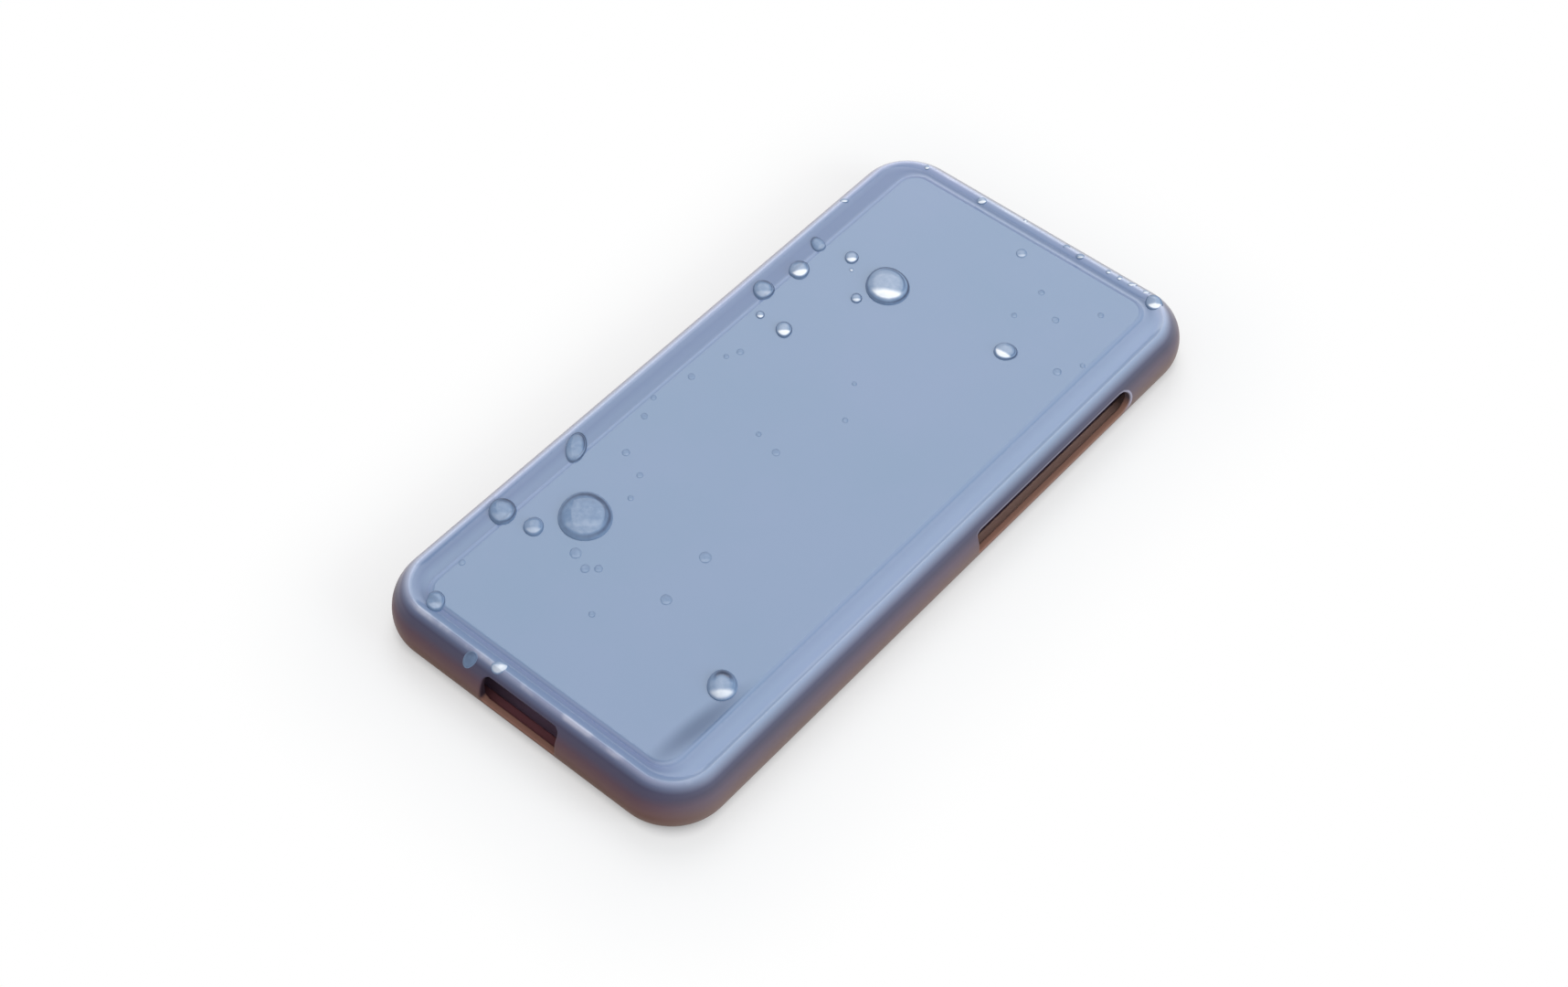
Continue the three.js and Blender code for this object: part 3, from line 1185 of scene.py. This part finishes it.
    def add_window(self, surface: Surface, opening: Opening) -> None:
        """Adds the rolled edges and the walls of one opening.

        Args:
            surface: Where the grid goes.
            opening: The opening.
        """
        stations = self.longs if opening.side is Side.LONG else self.ends
        within = (stations >= opening.block[0] - 1e-9) & (stations <= opening.block[1] + 1e-9)
        rings, values = opening.rings(self.section, stations[within])
        rings = np.concatenate([rings, rings[:, :1]], axis=1)
        values = {key: np.concatenate([value, value[:, :1]], axis=1) for key, value in values.items()}
        along, height, depth = rings[..., 0], rings[..., 1], rings[..., 2]
        if opening.side is Side.LONG:
            grid = np.stack([self.sizes.width / 2 - depth, along, height], axis=-1)
        else:
            grid = np.stack([along, depth - self.sizes.length / 2, height], axis=-1)
        inside = values["inside"]
        values["up_the_side"] = np.where(inside < 1, self.section.run_at(height), 0.0)
        values["inside"] = np.where(inside < 1, inside, self.section.inner_tone(height))
        values["facing_x"] = np.float64(opening.side is Side.LONG)
        values["facing_y"] = -np.float64(opening.side is Side.END)
        surface.add_grid(grid, values)

    def build(self) -> bpy.types.Object:
        """Builds the shell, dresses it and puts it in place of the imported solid.

        Returns:
            The shell.
        """
        surface = Surface()
        grid = self.add_walls(surface)
        self.add_cap(surface, grid[-1], inside=0.0, flip=False)
        self.add_cap(surface, grid[0], inside=2.0, flip=True)
        for opening in (self.port, self.keys):
            self.add_window(surface, opening)
        shell = surface.piece("shell")
        shell.data.materials.append(self.finish.material())
        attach(shell, "root")
        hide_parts("case_shell")
        return shell


# The water

@dataclass(frozen=True)
class Drop:
    """One drop of water, sizes in millimetres.

    Its width runs along the line from (-x, -y) to (+x, +y), square to the light, and its length along
    the light, which comes from (-x, +y); a length or height of 0 is worked out from the width. The
    foot's turn and the painted crescent's lean are in degrees. The painted bright crescent begins and
    ends at two shares of the way out. "bright" and "dark" are the strengths of the painted highlight
    and the painted shade. A higher "soft" widens the painted dark outline and moves it and the
    painted dark arc inwards.
    """

    x: float
    y: float
    width: float
    length: float = 0.0
    turn: float = 0.0
    height: float = 0.0
    bright: float = 1.0
    dark: float = 1.0
    painted_dark_arc: float = 0.25
    lean: float = 0.0
    soft: float = 1.0
    crescent: tuple = (0.18, 0.86)


@dataclass(frozen=True)
class DropLight:
    """How the painted light and shade lie in a drop, with places and widths as shares of the way
    out to its foot.

    Directions are in degrees. A swing is how much a tone changes with the direction.
    """

    glow: float = 0.13
    crescent_rise: float = 0.32
    crescent_fall: float = 0.1
    crescent_side: float = 45.0
    crescent_swing: float = 0.16
    dark_side: float = 40.0
    ring_inset: float = 0.065
    ring_width: float = 0.042
    ring_swing: float = 0.36
    second_place: float = 0.75
    second_width: float = 0.05
    second_share: float = 0.6
    painted_dark_arc_place: float = 0.80
    painted_dark_arc_inset: float = 0.12
    painted_dark_arc_width: float = 0.17
    painted_dark_arc_swing: float = 0.4
    painted_dark_arc_share: float = 0.75

    @staticmethod
    def bell(q: np.ndarray, middle: float | np.ndarray, width: float) -> np.ndarray:
        """A bell curve, exp of minus the square of (q - middle) / width."""
        return np.exp(-(((q - middle) / width) ** 2))

    def painted_drop_light(self, q: np.ndarray, way: np.ndarray, drop: Drop) -> np.ndarray:
        """How much light the water gathers at each point of a cap, as painted light and shade.

        A painted bright crescent lies away from the light, brightest on the side at +x, +y. A thin painted
        dark outline runs by the foot, with a second arc inside it on that side, and a soft painted dark
        arc lies by the light.

        Args:
            q: Share of the way out to the foot.
            way: Direction from the middle in radians; a quarter turn points away from the light.
            drop: The drop.

        Returns:
            Array of values from 0 to 1, a half where the face's own tone shows.
        """
        start, end = drop.crescent
        lit = np.clip((q * np.sin(way + np.radians(drop.lean)) - start) / self.crescent_rise, 0, 1)
        crescent = smooth_step(lit) * np.clip((end - q) / self.crescent_fall, 0, 1)
        swing = self.crescent_swing
        crescent = crescent * (1 - swing + swing * np.cos(way - np.radians(self.crescent_side)))
        facing = np.cos(way + np.radians(self.dark_side))
        toward = np.clip(-np.sin(way), 0, 1)
        ring = 1 - drop.soft * self.ring_inset - self.ring_inset * toward
        outline = self.bell(q, ring, self.ring_width * drop.soft)
        outline = outline * (1 - self.ring_swing + self.ring_swing * facing)
        second = self.bell(q, self.second_place, self.second_width) * np.clip(facing, 0, 1)
        painted_dark_arc = self.bell(q, self.painted_dark_arc_place - self.painted_dark_arc_inset * drop.soft, self.painted_dark_arc_width) * toward
        painted_dark_arc = painted_dark_arc * (1 - self.painted_dark_arc_swing + self.painted_dark_arc_swing * facing)
        painted_shade = drop.dark * (outline + self.second_share * second) + self.painted_dark_arc_share * drop.painted_dark_arc * painted_dark_arc
        light = drop.bright * (self.glow * (1 - q**3) + crescent / 2)
        return np.clip(0.5 + light - painted_shade / 2, 0, 1)


@dataclass
class WaterDrops:
    """Drops of water on the face and the rim.

    "across" and "along" are the directions of a drop's width and length. The usual length and height
    are shares of the width. A drop stands off its place, along the light, by the offset times its height.
    A grid's counts are its rings and its spokes, and drops wider than "large" have the finer grid;
    "crowd" draws the rings closer together near the foot.
    """

    sizes: CaseSizes
    finish: ClearWater
    light: DropLight = DropLight()
    across: tuple = (0.758, 0.652)
    along: tuple = (0.659, -0.752)
    usual_length: float = 1.15
    usual_height: float = 0.22
    offset: float = 0.3
    wobble: tuple = (0.022, 0.014)
    sink: float = 0.02
    depth: float = 0.1
    underside: tuple = (1.0, 0.5, 0.0)
    large: float = 3.0
    large_grid: tuple = (41, 97)
    small_grid: tuple = (21, 41)
    crowd: float = 1.5
    section: Section = field(init=False)
    drops: tuple = (
        Drop(-13.7, 42.9, 8.8, 10.4, height=1.3, dark=0.95, painted_dark_arc=0.0, lean=-9.0, crescent=(0.24, 0.84)),
        Drop(-19.6, -39.1, 10.2, 11.9, height=1.2, bright=0.18, dark=0.62, painted_dark_arc=0.15, soft=1.7),
        Drop(25.4, -51.3, 5.4, 6.9, height=1.1, bright=0.66, dark=0.3, painted_dark_arc=1.6, soft=1.5,
             crescent=(0.27, 0.99)),
        Drop(15.2, 44.2, 4.9, 4.5, -20.0, height=0.7, dark=0.8),
        Drop(-21.8, 20.5, 3.4, 4.2),
        Drop(-30.1, 34.9, 4.2, 5.4, dark=0.7, painted_dark_arc=0.7, lean=10.0),
        Drop(-32.0, 26.2, 4.3, 5.4, bright=0.35, dark=0.9, painted_dark_arc=0.5),
        Drop(-31.8, 42.8, 2.8, 4.4, 20.0, bright=0.15, dark=0.9),
        Drop(-24.1, 44.2, 2.8, 3.5),
        Drop(-21.9, 41.5, 0.9, dark=0.3),
        Drop(-16.2, 36.2, 2.3, bright=0.7, painted_dark_arc=0.6),
        Drop(-27.9, 20.4, 1.8, bright=0.8),
        Drop(-32.3, -48.2, 5.3, 6.4, bright=0.22, dark=0.75, painted_dark_arc=0.6, soft=1.5),
        Drop(-25.2, -47.2, 3.8, 4.6, bright=0.4, dark=0.35),
        Drop(-32.4, -28.0, 4.0, 7.8, -10.0, height=0.8, bright=0.12, dark=0.9, painted_dark_arc=0.5),
        Drop(-26.9, -71.2, 3.6, 4.4, bright=0.3, dark=0.5),
        Drop(29.7, 73.7, 3.6, 4.0),
        Drop(1.45, 67.2, 2.2, 2.6, height=0.2, bright=0.45, dark=0.0, painted_dark_arc=0.0),
        Drop(-7.6, -74.3, 3.1, 2.6, height=0.4, bright=0.62, dark=0.1, painted_dark_arc=0.0, crescent=(-0.4, 0.95)),
        Drop(-13.4, -76.1, 2.8, 2.4, height=0.3, bright=-0.9, dark=0.3, painted_dark_arc=0.3, soft=1.8,
             crescent=(2.0, 2.0)),
        Drop(-13.9, 73.8, 2.2, 1.8, height=0.4, bright=1.4, dark=0.3),
        Drop(11.0, 74.2, 1.8, 1.5, height=0.4, bright=0.7, dark=0.5),
        Drop(-28.6, 74.1, 1.2, height=0.3, dark=0.3),
        Drop(-3.6, 75.0, 1.0, height=0.3, dark=0.6),
        Drop(17.9, 74.4, 1.1, height=0.3, dark=0.6),
        Drop(20.6, 74.5, 1.2, height=0.3, dark=0.5),
        Drop(23.6, 74.7, 2.1, 1.1, height=0.3, bright=1.3, dark=0.3),
        Drop(26.9, 74.8, 1.7, 1.1, height=0.3, bright=1.3, dark=0.5),
        Drop(7.2, 74.6, 1.6, 1.0, height=0.3, bright=0.4, dark=0.8),
        Drop(-35.5, 55.5, 1.9, 1.2, height=0.4, dark=0.2),
    )
    specks: tuple = (
        (-14.8, -46.8, 2.3), (-11.0, -48.3, 1.8), (-9.1, -46.7, 1.6), (4.2, -32.0, 2.4), (5.2, -43.9, 2.2),
        (-27.4, -0.6, 1.5), (-24.4, 10.4, 1.5), (-2.3, -4.5, 1.6), (26.2, 46.4, 1.7), (-24.1, -23.0, 1.6),
        (-27.6, -14.0, 1.4), (-18.3, -25.4, 1.3), (-29.4, -9.4, 1.2), (-15.9, -30.6, 1.2), (11.1, 61.2, 1.3),
        (10.7, 52.8, 1.2), (17.7, 57.1, 1.5), (23.8, 63.9, 1.3), (29.0, 50.9, 1.1), (-7.8, -3.2, 1.1),
        (2.6, 10.2, 1.2), (-2.0, 18.5, 1.0), (-2.9, -55.1, 1.3), (-25.7, 7.7, 1.1), (-29.3, -62.0, 1.3),
    )

    def __post_init__(self) -> None:
        """Works out the section of the case, on which the drops stand."""
        self.section = Section(self.sizes)

    def ground(self, x: np.ndarray, y: np.ndarray) -> np.ndarray:
        """Height of the case's upper skin: the lower of the long sides' profile at x and the ends' at y.

        Args:
            x: Places across the case.
            y: Places along it.

        Returns:
            Array of heights.
        """
        skin = self.section.outer[self.section.long_curve:]
        side = np.interp(self.sizes.width / 2 - abs(x), skin[:, 0], skin[:, 2])
        end = np.interp(self.sizes.length / 2 - abs(y), skin[:, 1], skin[:, 2])
        return np.minimum(side, end)

    def add_drop(self, surface: Surface, drop: Drop) -> None:
        """Adds one drop: it stands h (1 - q^2.6)^0.55 above the skin at q of the way out to its foot.

        Its wall goes on into the skin, where a flat underside closes it. The foot's outline swells and
        shrinks a little twice and three times round.

        Args:
            surface: Where the drop goes.
            drop: The drop.
        """
        rings, spokes = self.large_grid if drop.width > self.large else self.small_grid
        out = 1 - (1 - np.linspace(0, 1, rings)) ** self.crowd
        q, a = np.meshgrid([*out, *self.underside], np.linspace(0, 2 * np.pi, spokes), indexing="ij")
        twice, thrice = self.wobble
        wobble = 1 + twice * np.cos(2 * a + drop.x) + thrice * np.cos(3 * a + drop.y)
        u = q * np.cos(a) * drop.width / 2 * wobble
        v = q * np.sin(a) * (drop.length or self.usual_length * drop.width) / 2 * wobble
        turn = np.radians(drop.turn)
        u, v = u * np.cos(turn) + v * np.sin(turn), v * np.cos(turn) - u * np.sin(turn)
        height = drop.height or self.usual_height * drop.width
        v = v + self.offset * height
        x = drop.x + u * self.across[0] + v * self.along[0]
        y = drop.y + u * self.across[1] + v * self.along[1]
        ground = self.ground(x, y)
        z = ground - self.sink + height * np.clip(1 - q**2.6, 0, 1) ** 0.55
        z[rings:] = ground[rings:] - self.depth
        grid = np.stack([x, y, z], axis=-1)
        grid[:, -1] = grid[:, 0]
        surface.add_grid(grid, {"painted_drop_light": self.light.painted_drop_light(q, a + turn, drop)})

    def all_drops(self) -> list:
        """The drops and, as low and faint drops, the specks of dried spray."""
        dried = [Drop(x, y, width, height=0.1, bright=0.1, dark=0.22, painted_dark_arc=0.1)
                 for x, y, width in self.specks]
        return [*self.drops, *dried]

    def build(self) -> bpy.types.Object:
        """Builds all drops as one piece.

        Returns:
            The drops.
        """
        surface = Surface()
        for drop in self.all_drops():
            self.add_drop(surface, drop)
        drops = surface.piece("water_drops")
        drops.data.materials.append(self.finish.material())
        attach(drops, "root")
        return drops


# The floor, the lamps, the room and the camera

@dataclass(frozen=True)
class PaleFloor:
    """A wide white floor. Close to the case it is lit by the lamps alone, so the shadow stays.

    Under the case it has a painted warm dark shade, the tone of the light that comes through the
    plastic. Runs are distances from the core, a box inside the case, in metres.
    """

    size: float = 8.0
    drop: float = 0.0002
    core: tuple = (0.029, 0.0686, 1.0)
    roughness: float = 0.9
    paper: tuple = (0.88, 0.88, 0.88)
    # Painted warm dark shade on the floor under the case.
    painted_shade: tuple = (0.40, 0.25, 0.36)
    painted_shade_run: tuple = (0.0060, 0.0072)
    edge_run: tuple = (0.0066, 0.0100)
    edge_share: float = 0.52
    wide_run: tuple = (0.0100, 0.045)
    wide_share: float = 0.48
    mirror_gain: float = 1.8

    def distance(self, graph: Graph) -> Socket:
        """Distance from the core: the length of max(|place| - core, 0).

        Args:
            graph: The material's graph.

        Returns:
            The distance's socket.
        """
        past = graph.place()
        steps = (("ABSOLUTE", {}), ("SUBTRACT", {1: self.core}), ("MAXIMUM", {1: (0.0, 0.0, 0.0)}))
        for kind, other in steps:
            past = graph.step("ShaderNodeVectorMath", {0: past} | other, "Vector", operation=kind)
        return graph.length(past)

    def material(self) -> bpy.types.Material:
        """Builds the floor's material.

        Returns:
            The material.
        """
        mat, graph, shader = new_material("pale_floor")
        away = self.distance(graph)
        paper = graph.mix(graph.carry(away, self.painted_shade_run), self.painted_shade, self.paper)
        graph.feed(shader, {"Base Color": paper, "Roughness": self.roughness, "Specular IOR Level": 0.0})
        glow = graph.step("ShaderNodeEmission", {"Color": WHITE, "Strength": 1.0}, "Emission")
        edge = graph.carry(away, self.edge_run, (0.0, self.edge_share))
        wide = graph.carry(away, self.wide_run, (0.0, self.wide_share), smooth=True)
        seen = graph.product(graph.math("ADD", edge, wide), graph.ray("Is Camera Ray"))
        mirrored = graph.product(wide, self.mirror_gain, graph.mirrored())
        graph.show("Material Output", graph.math("MAXIMUM", seen, mirrored), shader.outputs["BSDF"], glow)
        return mat

    def build(self) -> bpy.types.Object:
        """Lays the floor just under the case.

        Returns:
            The floor.
        """
        half = self.size / 2
        corners = np.array([[-half, -half], [half, -half], [half, half], [-half, half]])
        points = np.column_stack([corners, np.full(4, -self.drop)])
        mesh = bpy.data.meshes.new("floor")
        mesh.from_pydata(points.tolist(), [], [(0, 1, 2, 3)])
        mesh.update()
        floor = add_object("floor", mesh)
        floor.data.materials.append(self.material())
        return floor


@dataclass(frozen=True)
class SoftLamp:
    """A soft square lamp that points at the middle of the case, with or without its own reflection."""

    name: str
    place: tuple
    side: float
    power: float
    colour: tuple = (1.0, 1.0, 1.0)
    mirrored: bool = True

    def build(self) -> bpy.types.Object:
        """Hangs the lamp.

        Returns:
            The lamp.
        """
        data = bpy.data.lights.new(self.name, "AREA")
        data.size = self.side
        data.energy = self.power
        data.color = self.colour
        lamp = add_object(self.name, data)
        lamp.location = self.place
        lamp.rotation_euler = (-Vector(self.place)).to_track_quat("-Z", "Y").to_euler()
        lamp.visible_glossy = self.mirrored
        return lamp


@dataclass(frozen=True)
class SoftRoom:
    """Even pale light from all round; what the camera and reflections see of it is white."""

    strength: float = 0.55
    colour: tuple = (0.97, 0.98, 1.0)

    def build(self) -> bpy.types.World:
        """Sets the world.

        Returns:
            The world.
        """
        world = bpy.data.worlds.new("soft_room")
        world.use_nodes = True
        graph = Graph(world.node_tree.nodes, world.node_tree.links)
        light = graph.nodes["Background"]
        graph.feed(light, {"Color": self.colour, "Strength": self.strength})
        white = graph.step("ShaderNodeBackground", {"Color": WHITE, "Strength": 1.0}, "Background")
        seen = graph.math("MAXIMUM", graph.ray("Is Camera Ray"), graph.mirrored())
        graph.show("World Output", seen, light.outputs["Background"], white)
        bpy.context.scene.world = world
        return world


@dataclass(frozen=True)
class PhotoCamera:
    """The camera at the photograph's place and angle, in metres."""

    place: tuple = (0.21957, -0.25529, 0.41539)
    right: tuple = (0.75834943, 0.65179845, -0.00805744)
    up: tuple = (-0.50450051, 0.59471012, 0.62593858)
    back: tuple = (0.41277763, -0.47061518, 0.77983074)
    lens: float = 63.27
    sensor: float = 36.0
    clip: tuple = (0.01, 20.0)

    def build(self) -> bpy.types.Object:
        """Makes the camera and gives it to the scene.

        Returns:
            The camera.
        """
        data = bpy.data.cameras.new("photo_camera")
        data.lens = self.lens
        data.sensor_width = self.sensor
        data.sensor_fit = "HORIZONTAL"
        data.clip_start, data.clip_end = self.clip
        camera = add_object("photo_camera", data)
        turn = Matrix((self.right, self.up, self.back)).transposed().to_4x4()
        camera.matrix_world = Matrix.Translation(self.place) @ turn
        bpy.context.scene.camera = camera
        return camera


def report(piece: bpy.types.Object) -> None:
    """Logs a piece's name and its number of faces."""
    log.info("%s: %d faces", piece.name, len(piece.data.polygons))


def main() -> None:
    """Builds the case, the water on it, the floor, the lamps and the camera."""
    logging.basicConfig(level=logging.INFO, format="%(name)s %(message)s")
    bpy.context.scene.view_settings.view_transform = "Standard"
    sizes = CaseSizes()
    report(CaseShell(sizes, SmokedPlastic()).build())
    report(WaterDrops(sizes, ClearWater()).build())
    report(PaleFloor().build())
    SoftLamp("far_lamp", (-0.62, 0.72, 1.15), side=0.9, power=7.0).build()
    SoftLamp("top_lamp", (0.1, -0.1, 1.4), side=1.0, power=3.0).build()
    SoftLamp("side_lamp", (1.3, 0.25, 0.5), side=0.7, power=9.0, colour=(0.86, 0.95, 1.0),
             mirrored=False).build()
    SoftRoom().build()
    PhotoCamera().build()


if __name__ == "__main__":
    main()
